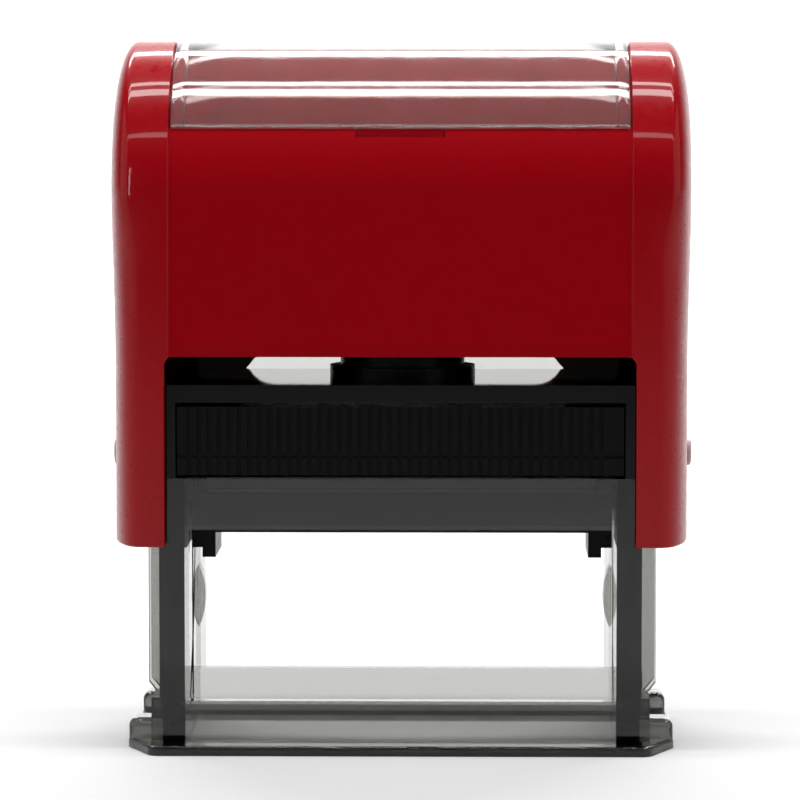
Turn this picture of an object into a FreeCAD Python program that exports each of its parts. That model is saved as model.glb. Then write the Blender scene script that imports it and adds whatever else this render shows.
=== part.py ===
import FreeCAD, Part
import math
import os

import Sketcher

# Self-inking stamp, in millimetres. The origin is at the centre of the base's underside, +Z is up,
# -Y is the front and +X is the right-hand side. The cap is modelled at rest, fully raised.

# Driving dimensions: alias, value, meaning.
DIMENSIONS = [
    ("cap_width", 70.0, "cap, left to right"),
    ("cap_depth", 36.0, "cap, front to back; also the diameter of its arched top"),
    ("cap_top", 85.0, "top of the cap"),
    ("cap_bottom", 24.8, "lower edge of the cap's legs"),
    ("cap_wall", 1.8, "wall of the cap"),
    ("cap_round", 3.0, "radius along the cap's side edges"),
    ("panel_width", 54.8, "satin centre panel between the side cheeks"),
    ("panel_recess", 0.25, "step from the cheeks down to the panel"),
    ("opening_top", 47.5, "top of the cap's front opening"),
    ("rear_opening_top", 46.2, "top of the cap's rear opening"),
    ("front_opening_width", 56.2, "cap's front opening"),
    ("rear_opening_width", 40.4, "cap's rear opening"),
    ("opening_round", 1.1, "corner radius of the front opening"),
    ("rear_opening_round", 3.7, "corner radius of the rear opening"),
    ("index_width", 54.6, "clear index window, left to right"),
    ("index_floor", 74.65, "height of the index window's lower edges"),
    ("index_thick", 0.85, "wall of the index window"),
    ("index_gap", 0.1, "fit of the index window in its recess"),
    ("notch_width", 10.7, "pry notch under the index window"),
    ("notch_depth", 3.0, "how far the pry notch's cut reaches in"),
    ("notch_drop", 1.0, "height of the pry notch below the index window"),
    ("travel", 22.5, "stroke of the cap"),
    ("axle_height", 27.5, "axis of the turning block at rest"),
    ("axle_radius", 1.1, "axle pins"),
    ("cam_radius", 0.9, "cam follower pins"),
    ("cam_throw", 4.5, "distance from the axle to a cam follower pin"),
    ("running_gap", 0.3, "clearance between moving pieces"),
    ("overcut", 1.0, "how far a cutting shape passes the surface that it cuts"),
    ("overlap", 0.5, "how far one member runs into the next where they are moulded as one"),
    ("bore_gap", 0.04, "radial clearance of a running bore"),
    ("base_depth", 31.0, "outer faces of the frame's rails"),
    ("wall_outer", 28.9, "outer face of a side wall"),
    ("wall_thick", 3.0, "side wall of the frame"),
    ("wall_top", 32.8, "top of the frame's side walls"),
    ("rib_outer", 31.1, "outer face of a guide rib"),
    ("rib_depth", 7.0, "guide rib, front to back"),
    ("rib_bottom", 5.0, "lower end of a guide rib"),
    ("rib_tip", 0.9, "lowest point of a rib, out from the wall"),
    ("rib_slope_in", 0.8, "rise of a rib's lower end towards the wall"),
    ("rib_slope_out", 1.6, "rise of a rib's lower end away from the wall"),
    ("rail_thick", 1.8, "rails and crossbars of the frame"),
    ("rail_top", 6.0, "top of the lower rails"),
    ("crossbar_bottom", 27.2, "underside of the upper crossbars"),
    ("crossbar_top", 32.8, "top of the upper crossbars, below the ink pad's path"),
    ("lip_width", 0.6, "lip round the inside of the frame's front and back openings"),
    ("lip_depth", 1.0, "thickness of the lip, front to back"),
    ("post_outer", 29.9, "outer face of the corner posts at the foot"),
    ("post_inner", 8.8, "corner posts start this far from the middle"),
    ("post_top", 6.4, "top of the corner posts"),
    ("flange_thick", 1.2, "foot flange"),
    ("flange_round", 0.4, "radius along the flange's upper edge"),
    ("flange_reach", 19.9, "front edge of the foot flange"),
    ("flange_corner", 1.6, "plan radius at the ends of the flange's front edge"),
    ("ear_corner", 1.2, "plan radius of an ear's corners"),
    ("flange_front", 29.7, "half-width of the flange's straight front edge"),
    ("flange_ear", 32.9, "half-width of the flange at its ears"),
    ("ear_front", 12.6, "outer end of an ear's straight side, from the middle"),
    ("ear_back", 8.4, "inner end of an ear, from the middle"),
    ("bumper_outer", 32.8, "outer face of the thick part of an ear"),
    ("bumper_front", 13.6, "outer end of the thick part, from the middle"),
    ("bumper_top", 3.6, "top of an ear's thick part"),
    ("bumper_round", 1.0, "radius along an ear's thick part"),
    ("bridge_setback", 1.0, "flange bridges stop this short of the rails' outer faces"),
    ("hump_height", 0.9, "hump on a side wall's inner face"),
    ("hump_radius", 9.5, "radius of the hump's face"),
    ("hump_centre", 15.5, "height of the hump's highest point"),
    ("hump_low", 11.0, "lower end of the hump"),
    ("hump_high", 20.0, "upper end of the hump"),
    ("hump_near", 11.0, "front face of the hump, from the middle"),
    ("hump_far", 14.0, "back face of the hump, from the middle"),
    ("groove_gap", 0.2, "radial clearance of a follower pin in its groove"),
    ("groove_depth", 1.0, "depth of a cam groove"),
    ("groove_cut", 0.1, "how far a cam groove's cutter stands out of the wall"),
    ("slot_gap", 0.2, "radial clearance of an axle pin in its slot"),
    ("housing_top", 44.0, "top of the pad housing"),
    ("housing_plate", 2.1, "top plate of the pad housing"),
    ("housing_wall", 2.0, "side plates of the pad housing"),
    ("housing_back", 13.8, "rear ends of the housing's plates"),
    ("screen_top", 47.0, "top of the frame's rear screen"),
    ("tray_bottom", 33.2, "underside of the pad tray"),
    ("tray_top", 41.4, "top of the pad tray"),
    ("tray_width", 53.4, "pad tray, left to right"),
    ("tray_back", 13.5, "rear face of the pad tray"),
    ("tray_gap", 0.4, "gap between the pad tray and the rear screen that stops it"),
    ("grip_pitch", 1.2, "spacing of the grip grooves"),
    ("grip_groove", 0.5, "width of a grip groove"),
    ("grip_sunk", 0.35, "depth of a grip groove"),
    ("grip_line_low", 2.1, "lower edge of the grip's cross groove, above the tray's underside"),
    ("grip_line_high", 2.5, "upper edge of the grip's cross groove"),
    ("pad_width", 48.4, "ink pad, left to right"),
    ("pad_depth", 24.0, "ink pad, front to back"),
    ("pad_rise", 6.0, "depth of the pad's pocket in the tray"),
    ("pad_proud", 0.1, "how far the pad stands out of the tray"),
    ("block_length", 50.6, "turning block, left to right"),
    ("block_depth", 17.0, "turning block, front to back"),
    ("block_under", 1.9, "block's plate below the axle"),
    ("block_over", 3.0, "block's plate above the axle"),
    ("cheek_inner", 22.7, "inner face of an end cheek"),
    ("cheek_step", 24.3, "where an end cheek steps up"),
    ("cheek_outer", 25.6, "outer face of an end cheek"),
    ("cheek_depth", 12.0, "end cheek, front to back"),
    ("cheek_drop", 5.2, "how far an end cheek hangs below the axle"),
    ("cheek_step_drop", 4.0, "how far its outer step hangs below the axle"),
    ("pin_inset", 0.2, "axle pins start this far inside the end cheeks"),
    ("cam_reach", 0.8, "how far a follower pin reaches into its groove"),
    ("cushion_thick", 0.6, "foam under the die"),
    ("die_plate", 0.5, "back of the rubber die"),
    ("die_relief", 0.6, "raised printing surface"),
    ("die_length", 47.0, "die, left to right"),
    ("die_depth", 18.0, "die, front to back"),
    ("die_edge", 1.0, "width of the die's raised border"),
    ("bar_width", 2.2, "raised bars of the die, front to back"),
    ("bar_pitch", 4.2, "spacing of the raised bars"),
    ("bar_front", 30.0, "front bar, left to right"),
    ("bar_middle", 38.0, "middle bar, left to right"),
    ("bar_rear", 24.0, "rear bar, left to right"),
    ("yoke_top", 80.0, "top of the yoke"),
    ("yoke_bar", 1.5, "top plate of the yoke"),
    ("yoke_depth", 16.0, "yoke, front to back"),
    ("yoke_leg_inner", 31.5, "inner face of a yoke leg"),
    ("yoke_bottom", 25.2, "lower end of a yoke leg"),
    ("guide_top", 45.0, "top of the guides on a yoke leg"),
    ("post_length", 6.0, "centring post inside the return spring"),
    ("cup_radius", 8.9, "foot of the spring cup"),
    ("cup_rim_radius", 7.6, "rim of the spring cup"),
    ("cup_step", 45.5, "top of the spring cup's foot"),
    ("cup_top", 47.2, "top of the spring cup"),
    ("cup_bore", 6.9, "bore of the spring cup"),
    ("cup_floor", 44.6, "floor of the spring cup"),
    ("coil_radius", 6.0, "mean radius of the return spring"),
    ("wire_radius", 0.6, "wire of the return spring"),
    ("coil_turns", 8.0, "turns of the return spring"),
    ("button_height", 34.7, "axis of the lock buttons"),
    ("button_radius", 1.6, "stem of a lock button"),
    ("button_head", 2.6, "inner flange of a lock button"),
    ("button_proud", 0.45, "how far a lock button stands out"),
    ("button_flange", 1.0, "thickness of a lock button's flange, with its gap"),
    ("button_play", 0.1, "gap between a lock button's flange and the cap"),
    ("button_edge", 0.35, "radius on a lock button's face"),
]

SIDES = (("left", -1), ("right", 1))
END_TOLERANCE = 1e-6
GROOVE_STEPS = 24

doc = FreeCAD.newDocument("self_inking_stamp")
sheet = doc.addObject("Spreadsheet::Sheet", "Sizes")
for row, (alias, number, meaning) in enumerate(DIMENSIONS, start=1):
    sheet.set(f"A{row}", meaning)
    sheet.set(f"B{row}", str(number))
    sheet.setAlias(f"B{row}", alias)
doc.recompute()

subparts = []


def bind(formula):
    """Turn a formula of aliases into an expression on the sheet."""
    words = str(formula).replace("(", " ( ").replace(")", " ) ").split()
    aliases = {alias for alias, _, _ in DIMENSIONS}
    return " ".join(f"Sizes.{word}" if word in aliases else word for word in words)


def value(formula):
    """The number that a formula of aliases has now."""
    return float(sheet.evalExpression(bind(formula)))


def negative(formula):
    return f"0 - ( {formula} )"


def keep(piece, node):
    """List an object as a finished sub-part, under its node name."""
    piece.Label = node
    subparts.append(piece)
    return piece


# Part workbench helpers

def block(name, x_span, y_span, z_span):
    """A box between pairs of formulas."""
    box = doc.addObject("Part::Box", name)
    spans = (("Length", "x", x_span), ("Width", "y", y_span), ("Height", "z", z_span))
    for prop, axis, (low, high) in spans:
        box.setExpression(prop, bind(f"( {high} ) - ( {low} )"))
        box.setExpression(f".Placement.Base.{axis}", bind(low))
    return box


def side_span(low, high, side):
    """A span along X on the right-hand side, or mirrored to the left."""
    return (low, high) if side > 0 else (negative(high), negative(low))


def rod(name, radius, x_span, y, z):
    """A round bar along X."""
    bar = doc.addObject("Part::Cylinder", name)
    bar.Placement.Rotation = FreeCAD.Rotation(FreeCAD.Vector(0, 1, 0), 90)
    bar.setExpression("Radius", bind(radius))
    bar.setExpression("Height", bind(f"( {x_span[1]} ) - ( {x_span[0]} )"))
    for axis, formula in (("x", x_span[0]), ("y", y), ("z", z)):
        bar.setExpression(f".Placement.Base.{axis}", bind(formula))
    return bar


def fuse(name, shapes):
    joined = doc.addObject("Part::MultiFuse", name)
    joined.Shapes = shapes
    joined.Refine = True
    return joined


def cut(name, base, tools):
    """Base minus tools."""
    tool = tools[0] if len(tools) == 1 else fuse(f"{name}_tools", tools)
    result = doc.addObject("Part::Cut", name)
    result.Base = base
    result.Tool = tool
    result.Refine = True
    return result


# PartDesign helpers

def origin_plane(body, role):
    return next(item for item in body.Origin.OriginFeatures if item.Role == role)


def new_sketch(body, role, name, offset="0"):
    """A sketch on one of the body's origin planes, moved along the plane's normal."""
    sketch = body.newObject("Sketcher::SketchObject", name)
    sketch.AttachmentSupport = [(origin_plane(body, role), "")]
    sketch.MapMode = "FlatFace"
    sketch.setExpression(".AttachmentOffset.Base.z", bind(offset))
    return sketch


def pin_point(sketch, curve, point, across, up):
    """Hold a point of a curve at two distances from the sketch's origin."""
    for kind, formula in (("DistanceX", across), ("DistanceY", up)):
        limit = Sketcher.Constraint(kind, -1, 1, curve, point, value(formula))
        index = sketch.addConstraint(limit)
        sketch.setExpression(f"Constraints[{index}]", bind(formula))


def polygon(sketch, corners):
    """A closed outline whose corners are pairs of formulas."""
    first = sketch.GeometryCount
    count = len(corners)
    points = [FreeCAD.Vector(value(across), value(up), 0) for across, up in corners]
    for index in range(count):
        sketch.addGeometry(Part.LineSegment(points[index], points[(index + 1) % count]), False)
    for index in range(count):
        follower = first + (index + 1) % count
        sketch.addConstraint(Sketcher.Constraint("Coincident", first + index, 2, follower, 1))
    for index, (across, up) in enumerate(corners):
        pin_point(sketch, first + index, 1, across, up)


def rectangle(sketch, x_span, y_span):
    (left, right), (low, high) = x_span, y_span
    polygon(sketch, [(left, low), (right, low), (right, high), (left, high)])


def centred(width):
    """A span of the given width about zero."""
    return (f"0 - ( {width} ) / 2", f"( {width} ) / 2")


def circle(sketch, radius, across, up):
    centre = FreeCAD.Vector(value(across), value(up), 0)
    index = sketch.addGeometry(Part.Circle(centre, FreeCAD.Vector(0, 0, 1), value(radius)), False)
    size = sketch.addConstraint(Sketcher.Constraint("Radius", index, value(radius)))
    sketch.setExpression(f"Constraints[{size}]", bind(radius))
    pin_point(sketch, index, 3, across, up)


def half_round(sketch, radius, spring_line, rise="0"):
    """An arc about (0, spring_line), from right to left, whose ends are at the given rise."""
    size, height = value(radius), value(rise)
    start = math.asin(height / size)
    centre = FreeCAD.Vector(0, value(spring_line), 0)
    ring = Part.Circle(centre, FreeCAD.Vector(0, 0, 1), size)
    index = sketch.addGeometry(Part.ArcOfCircle(ring, start, math.pi - start), False)
    limit = sketch.addConstraint(Sketcher.Constraint("Radius", index, size))
    sketch.setExpression(f"Constraints[{limit}]", bind(radius))
    pin_point(sketch, index, 3, "0", spring_line)
    return index


def arch(sketch, half, floor, spring_line):
    """A closed arch: two straight legs from the floor and a half circle above them."""
    reach, low, spring = value(half), value(floor), value(spring_line)
    arc = half_round(sketch, half, spring_line)
    corners = [(-reach, spring), (-reach, low), (reach, low), (reach, spring)]
    lines = []
    for begin, end in zip(corners, corners[1:]):
        segment = Part.LineSegment(FreeCAD.Vector(*begin, 0), FreeCAD.Vector(*end, 0))
        lines.append(sketch.addGeometry(segment, False))
    chain = [(arc, 2), (lines[0], 1), (lines[0], 2), (lines[1], 1), (lines[1], 2), (lines[2], 1),
             (lines[2], 2), (arc, 1)]
    for begin, end in zip(chain[::2], chain[1::2]):
        sketch.addConstraint(Sketcher.Constraint("Coincident", *begin, *end))
    sketch.addConstraint(Sketcher.Constraint("Vertical", lines[0]))
    sketch.addConstraint(Sketcher.Constraint("Vertical", lines[2]))
    sketch.addConstraint(Sketcher.Constraint("Horizontal", lines[1]))
    for curve, point, formula in ((arc, 1, spring_line), (arc, 2, spring_line), (lines[1], 1, floor)):
        level = Sketcher.Constraint("DistanceY", -1, 1, curve, point, value(formula))
        index = sketch.addConstraint(level)
        sketch.setExpression(f"Constraints[{index}]", bind(formula))


def vault(sketch, outer, inner, floor, spring_line):
    """The ring between two radii, above a level floor."""
    rise = f"( {floor} ) - ( {spring_line} )"
    top = half_round(sketch, outer, spring_line, rise)
    under = half_round(sketch, inner, spring_line, rise)
    level = value(floor)
    for point, facing in ((1, 1), (2, -1)):
        far = facing * math.sqrt(value(outer) ** 2 - value(rise) ** 2)
        near = facing * math.sqrt(value(inner) ** 2 - value(rise) ** 2)
        segment = Part.LineSegment(FreeCAD.Vector(far, level, 0), FreeCAD.Vector(near, level, 0))
        index = sketch.addGeometry(segment, False)
        sketch.addConstraint(Sketcher.Constraint("Coincident", top, point, index, 1))
        sketch.addConstraint(Sketcher.Constraint("Coincident", under, point, index, 2))
        height = sketch.addConstraint(Sketcher.Constraint("DistanceY", -1, 1, index, 1, level))
        sketch.setExpression(f"Constraints[{height}]", bind(floor))
        sketch.addConstraint(Sketcher.Constraint("Horizontal", index))


def extrude(kind, body, sketch, name, length, symmetric=False, reverse=False):
    """Pad or pocket a sketch, and stop if it changes the volume the wrong way."""
    before = body.Tip.Shape.Volume if body.Tip else 0.0
    feature = body.newObject(f"PartDesign::{kind}", name)
    feature.Profile = sketch
    feature.SideType = "Symmetric" if symmetric else "One side"
    feature.Reversed = reverse
    feature.setExpression("Length", bind(length))
    body.Tip = feature
    doc.recompute()
    change = feature.Shape.Volume - before
    if (kind == "Pad" and change < END_TOLERANCE) or (kind == "Pocket" and change > -END_TOLERANCE):
        raise RuntimeError(f"{name} changes nothing")
    return feature


def round_edges(body, name, radius, wanted):
    """Fillet the edges of the body's tip that a test picks."""
    base = body.Tip
    edges = [f"Edge{i}" for i, edge in enumerate(base.Shape.Edges, start=1) if wanted(edge)]
    feature = body.newObject("PartDesign::Fillet", name)
    feature.Base = (base, edges)
    feature.setExpression("Radius", bind(radius))
    body.Tip = feature
    doc.recompute()
    return feature


def revolve(node, outline):
    """A body turned about Z (role XZ_Plane) from an outline of (radius, height) formulas."""
    body = doc.addObject("PartDesign::Body", node)
    sketch = new_sketch(body, "XZ_Plane", f"{node}_section")
    polygon(sketch, outline)
    feature = body.newObject("PartDesign::Revolution", f"{node}_turned")
    feature.Profile = sketch
    feature.ReferenceAxis = (sketch, ["V_Axis"])
    feature.Angle = 360
    body.Tip = feature
    doc.recompute()
    return body


# Cap

SPRING_LINE = "cap_top - cap_depth / 2"


def in_end_plane(edge):
    """True for the arch edges at the cap's left and right ends, without the floor edges."""
    box = edge.BoundBox
    half = value("cap_width") / 2
    at_end = box.XLength < END_TOLERANCE and abs(abs(box.XMin) - half) < END_TOLERANCE
    return at_end and box.ZMax > value("cap_bottom") + 1


def at_opening_corner(top, width, facing):
    """A test for the two upper corner edges of the opening on one face of the cap."""
    def wanted(edge):
        box = edge.BoundBox
        centre = box.Center
        level = abs(centre.z - value(top)) < END_TOLERANCE
        beside = abs(abs(centre.x) - value(width) / 2) < END_TOLERANCE
        return level and beside and box.YLength > 1 and centre.y * facing > 0
    return wanted


def cap_shell():
    """Red cap: an arch along X, hollow, open at the front, back and bottom."""
    body = doc.addObject("PartDesign::Body", "cap_shell")
    outside = new_sketch(body, "YZ_Plane", "cap_outside")
    arch(outside, "cap_depth / 2", "cap_bottom", SPRING_LINE)
    extrude("Pad", body, outside, "cap_solid", "cap_width", symmetric=True)
    round_edges(body, "cap_rounded", "cap_round", in_end_plane)

    inside = new_sketch(body, "YZ_Plane", "cap_inside")
    arch(inside, "cap_depth / 2 - cap_wall", "cap_bottom - overcut", SPRING_LINE)
    extrude("Pocket", body, inside, "cap_hollow", "cap_width - 2 * cap_wall", symmetric=True)

    skin = new_sketch(body, "YZ_Plane", "panel_skin")
    arch(skin, "cap_depth / 2 + overcut", "cap_bottom - 2 * overcut", SPRING_LINE)
    arch(skin, "cap_depth / 2 - panel_recess", "cap_bottom - overcut", SPRING_LINE)
    extrude("Pocket", body, skin, "panel_step", "panel_width", symmetric=True)

    seat = new_sketch(body, "YZ_Plane", "index_seat")
    seat_radius = "cap_depth / 2 - index_thick - index_gap"
    vault(seat, "cap_depth / 2 + overcut", seat_radius, "index_floor", SPRING_LINE)
    seat_width = "index_width + 2 * index_gap"
    extrude("Pocket", body, seat, "index_recess", seat_width, symmetric=True)

    notch = new_sketch(body, "YZ_Plane", "notch_section")
    notch_depth = ("0 - cap_depth / 2", "0 - cap_depth / 2 + notch_depth")
    rectangle(notch, notch_depth, ("index_floor - notch_drop", "index_floor + overlap"))
    extrude("Pocket", body, notch, "pry_notch", "notch_width", symmetric=True)

    openings = (("front", "opening_top", "front_opening_width", "opening_round", -1),
                ("rear", "rear_opening_top", "rear_opening_width", "rear_opening_round", 1))
    for name, top, width, corner, facing in openings:
        outline = new_sketch(body, "XZ_Plane", f"{name}_window")
        rectangle(outline, centred(width), ("cap_bottom - overcut", top))
        extrude("Pocket", body, outline, f"{name}_opening", "cap_depth", reverse=facing < 0)
        round_edges(body, f"{name}_opening_corners", corner, at_opening_corner(top, width, facing))

    holes = new_sketch(body, "YZ_Plane", "button_holes")
    circle(holes, "button_radius + bore_gap * 2", "0", "button_height")
    extrude("Pocket", body, holes, "button_bores", "cap_width + 2 * overcut", symmetric=True)
    return keep(body, "cap_shell")


def index_window():
    """Clear window, a shallow vault that sits in the recess on top of the cap."""
    body = doc.addObject("PartDesign::Body", "index_window")
    section = new_sketch(body, "YZ_Plane", "window_section")
    vault(section, "cap_depth / 2", "cap_depth / 2 - index_thick", "index_floor + index_gap", SPRING_LINE)
    extrude("Pad", body, section, "window_vault", "index_width", symmetric=True)
    return keep(body, "index_window")


def yoke():
    """Inner inverted U: it hangs from the cap, carries the axle pins and runs on the guide ribs."""
    end = "cap_width / 2 - cap_wall"
    depth = centred("yoke_depth")
    top = block("yoke_top_bar", (negative(end), end), depth, ("yoke_top - yoke_bar", "yoke_top"))
    post = doc.addObject("Part::Cylinder", "spring_post")
    post.setExpression("Radius", bind("coil_radius - wire_radius - running_gap"))
    post.setExpression("Height", bind("post_length"))
    post.setExpression(".Placement.Base.z", bind("yoke_top - yoke_bar - post_length"))
    solids = [top, post]
    bores = []
    rib_side = "rib_depth / 2 + running_gap"
    height = ("yoke_bottom", "guide_top")
    for name, side in SIDES:
        leg = side_span("yoke_leg_inner", end, side)
        solids.append(block(f"yoke_leg_{name}", leg, depth, ("yoke_bottom", "yoke_top")))
        guide = side_span("wall_outer + running_gap", "yoke_leg_inner", side)
        for end_name, facing in (("front", -1), ("back", 1)):
            reach = side_span(rib_side, "yoke_depth / 2", facing)
            solids.append(block(f"guide_{end_name}_{name}", guide, reach, height))
        bores.append(rod(f"yoke_axle_bore_{name}", "axle_radius", leg, "0", "axle_height"))
        pocket = "button_head + running_gap"
        bores.append(rod(f"yoke_button_pocket_{name}", pocket, leg, "0", "button_height"))
    return keep(cut("yoke", fuse("yoke_solid", solids), bores), "yoke")


def axle_pin(name, side):
    """Pin pressed into a yoke leg; it runs in the wall slot and in the turning block."""
    span = side_span("cheek_inner + pin_inset", "cap_width / 2 - cap_wall", side)
    return keep(rod(f"axle_pin_{name}", "axle_radius", span, "0", "axle_height"), f"axle_pin_{name}")


def lock_button(name, side):
    """Stepped button in the cap's side: a stem through the cap and a flange behind it."""
    end = "cap_width / 2 - cap_wall"
    flange_span = side_span(f"{end} - button_flange", f"{end} - button_play", side)
    flange = rod(f"button_flange_{name}", "button_head", flange_span, "0", "button_height")
    stem_span = side_span(f"{end} - overlap", "cap_width / 2 + button_proud", side)
    stem = rod(f"button_stem_{name}", "button_radius", stem_span, "0", "button_height")
    solid = fuse(f"button_solid_{name}", [flange, stem])
    doc.recompute()
    crown = doc.addObject("Part::Fillet", f"lock_button_{name}")
    crown.Base = solid
    outer = value("cap_width / 2 + button_proud")
    rims = [i for i, edge in enumerate(solid.Shape.Edges, start=1)
            if abs(abs(edge.BoundBox.Center.x) - outer) < END_TOLERANCE]
    radius = value("button_edge")
    crown.Edges = [(index, radius, radius) for index in rims]
    return keep(crown, f"lock_button_{name}")


# Frame

def on_outer_flange_top(edge):
    """True for the flange's upper edges along its front, back and ears."""
    box = edge.BoundBox
    centre = box.Center
    level = box.ZLength < END_TOLERANCE and abs(centre.z - value("flange_thick")) < END_TOLERANCE
    outside = abs(centre.x) > value("wall_outer") or abs(centre.y) > value("base_depth / 2")
    return level and outside


def flange_corner(across, up):
    """A test for the upright edges at one kind of corner of the flange's outline."""
    def wanted(edge):
        centre = edge.BoundBox.Center
        beside = abs(abs(centre.x) - value(across)) < END_TOLERANCE
        level = abs(abs(centre.y) - value(up)) < END_TOLERANCE
        return beside and level and edge.BoundBox.ZLength > value("flange_thick") / 2
    return wanted


def foot_flange():
    """Foot flange: a front and a back strip with slanted ears at their ends."""
    body = doc.addObject("PartDesign::Body", "foot_flange")
    inner = "base_depth / 2 - rail_thick"
    corners = [("flange_front", "flange_reach"), ("flange_ear", "ear_front"), ("flange_ear", "ear_back"),
               ("wall_outer - wall_thick", "ear_back"), ("wall_outer - wall_thick", inner)]
    half = corners + [(negative(across), up) for across, up in reversed(corners)]
    for name, facing in (("back", 1), ("front", -1)):
        sketch = new_sketch(body, "XY_Plane", f"flange_{name}")
        polygon(sketch, [(across, up if facing > 0 else negative(up)) for across, up in half])
        extrude("Pad", body, sketch, f"flange_{name}_strip", "flange_thick")
        if facing > 0:
            bridge = new_sketch(body, "XY_Plane", "flange_bridge")
            for side in (-1, 1):
                across = side_span("wall_outer - wall_thick", "wall_outer", side)
                rectangle(bridge, across, centred("base_depth - 2 * bridge_setback"))
            extrude("Pad", body, bridge, "flange_bridges", "flange_thick")
    round_edges(body, "flange_ends", "flange_corner", flange_corner("flange_front", "flange_reach"))
    for name, up in (("fronts", "ear_front"), ("backs", "ear_back")):
        round_edges(body, f"flange_ear_{name}", "ear_corner", flange_corner("flange_ear", up))
    round_edges(body, "flange_upper_edge", "flange_round", on_outer_flange_top)
    return body


def ear_bumper(name, side, facing):
    """Thick rounded part of one ear, at a corner of the frame."""
    body = doc.addObject("PartDesign::Body", f"bumper_{name}")
    plan = new_sketch(body, "XY_Plane", f"bumper_plan_{name}")
    across = side_span("wall_outer - overlap", "bumper_outer", side)
    rectangle(plan, across, side_span("ear_back", "bumper_front", facing))
    extrude("Pad", body, plan, f"bumper_pad_{name}", "bumper_top")
    round_edges(body, f"bumper_corners_{name}", "bumper_round", on_bumper_outside)
    return body


def on_bumper_outside(edge):
    """True for a bumper's outer upright edges and the upper edges that join them."""
    box = edge.BoundBox
    beside = abs(box.Center.x) > value("wall_outer")
    above = box.Center.z > value("bumper_top") / 3
    return beside and above


def guide_rib(name, side):
    """Guide rib on a side wall, with a pointed lower end."""
    body = doc.addObject("PartDesign::Body", f"rib_{name}")
    section = new_sketch(body, "XZ_Plane", f"rib_section_{name}")
    root = "wall_outer - overlap"
    corners = [(root, "rib_bottom + rib_slope_in"), ("wall_outer + rib_tip", "rib_bottom"),
               ("rib_outer", "rib_bottom + rib_slope_out"), ("rib_outer", "wall_top"), (root, "wall_top")]
    polygon(section, [(across if side > 0 else negative(across), up) for across, up in corners])
    extrude("Pad", body, section, f"rib_bar_{name}", "rib_depth", symmetric=True)
    return body


def cam_path(angle, offset):
    """Point of the cam groove: the follower's path, moved sideways by an offset."""
    drop = value("travel") / math.pi
    throw = value("cam_throw")
    across = throw * math.cos(angle)
    up = value("axle_height") - drop * angle - throw * math.sin(angle)
    run = FreeCAD.Vector(0, -throw * math.sin(angle), -drop - throw * math.cos(angle))
    run.normalize()
    return FreeCAD.Vector(0, across - run.z * offset, up + run.y * offset)


def cam_groove(name, side):
    """Groove in a side wall's inner face that turns the block half a turn over the stroke."""
    width = value("cam_radius + groove_gap")
    steps = [math.pi * index / GROOVE_STEPS for index in range(GROOVE_STEPS + 1)]
    edges = []
    rails = []
    for offset in (-width, width):
        curve = Part.BSplineCurve()
        curve.interpolate([cam_path(angle, offset) for angle in steps])
        rails.append(curve)
        edges.append(curve.toShape())
    for angle, outward in ((0.0, 1.0), (math.pi, -1.0)):
        middle = cam_path(angle, 0) + FreeCAD.Vector(0, 0, outward * width)
        arc = Part.Arc(cam_path(angle, -width), middle, cam_path(angle, width))
        edges.append(arc.toShape())
    face = Part.Face(Part.Wire(Part.__sortEdges__(edges)))
    groove = doc.addObject("Part::Feature", f"cam_groove_{name}")
    groove.Shape = face.extrude(FreeCAD.Vector(side * value("groove_depth + groove_cut"), 0, 0))
    inner = value("wall_outer - wall_thick - groove_cut")
    groove.Placement = FreeCAD.Placement(FreeCAD.Vector(side * inner, 0, 0), FreeCAD.Rotation())
    return groove


def wall_hump(name, side):
    """Lens-shaped hump behind the cam groove: a slice of a round bar along Y."""
    bar = doc.addObject("Part::Cylinder", f"wall_hump_{name}")
    bar.Placement.Rotation = FreeCAD.Rotation(FreeCAD.Vector(1, 0, 0), 90)
    bar.setExpression("Radius", bind("hump_radius"))
    bar.setExpression("Height", bind("hump_far - hump_near"))
    face = "wall_outer - wall_thick - hump_height"
    centre = f"{face} + hump_radius"
    bar.setExpression(".Placement.Base.x", bind(centre if side > 0 else negative(centre)))
    bar.setExpression(".Placement.Base.y", bind("hump_far"))
    bar.setExpression(".Placement.Base.z", bind("hump_centre"))
    across = side_span(face, "wall_outer", side)
    limit = block(f"hump_limit_{name}", across, ("hump_near", "hump_far"), ("hump_low", "hump_high"))
    lens = doc.addObject("Part::Common", f"hump_lens_{name}")
    lens.Base = bar
    lens.Tool = limit
    return lens


def axle_slot(name, side):
    """Upright slot through a side wall and its rib, with round ends."""
    across = side_span("wall_outer - wall_thick - overcut", "rib_outer + overcut", side)
    half = "axle_radius + slot_gap"
    low, high = "axle_height - travel", "axle_height"
    return [block(f"axle_slot_{name}", across, centred(f"2 * ( {half} )"), (low, high)),
            rod(f"slot_top_{name}", half, across, "0", high),
            rod(f"slot_end_{name}", half, across, "0", low)]


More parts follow.
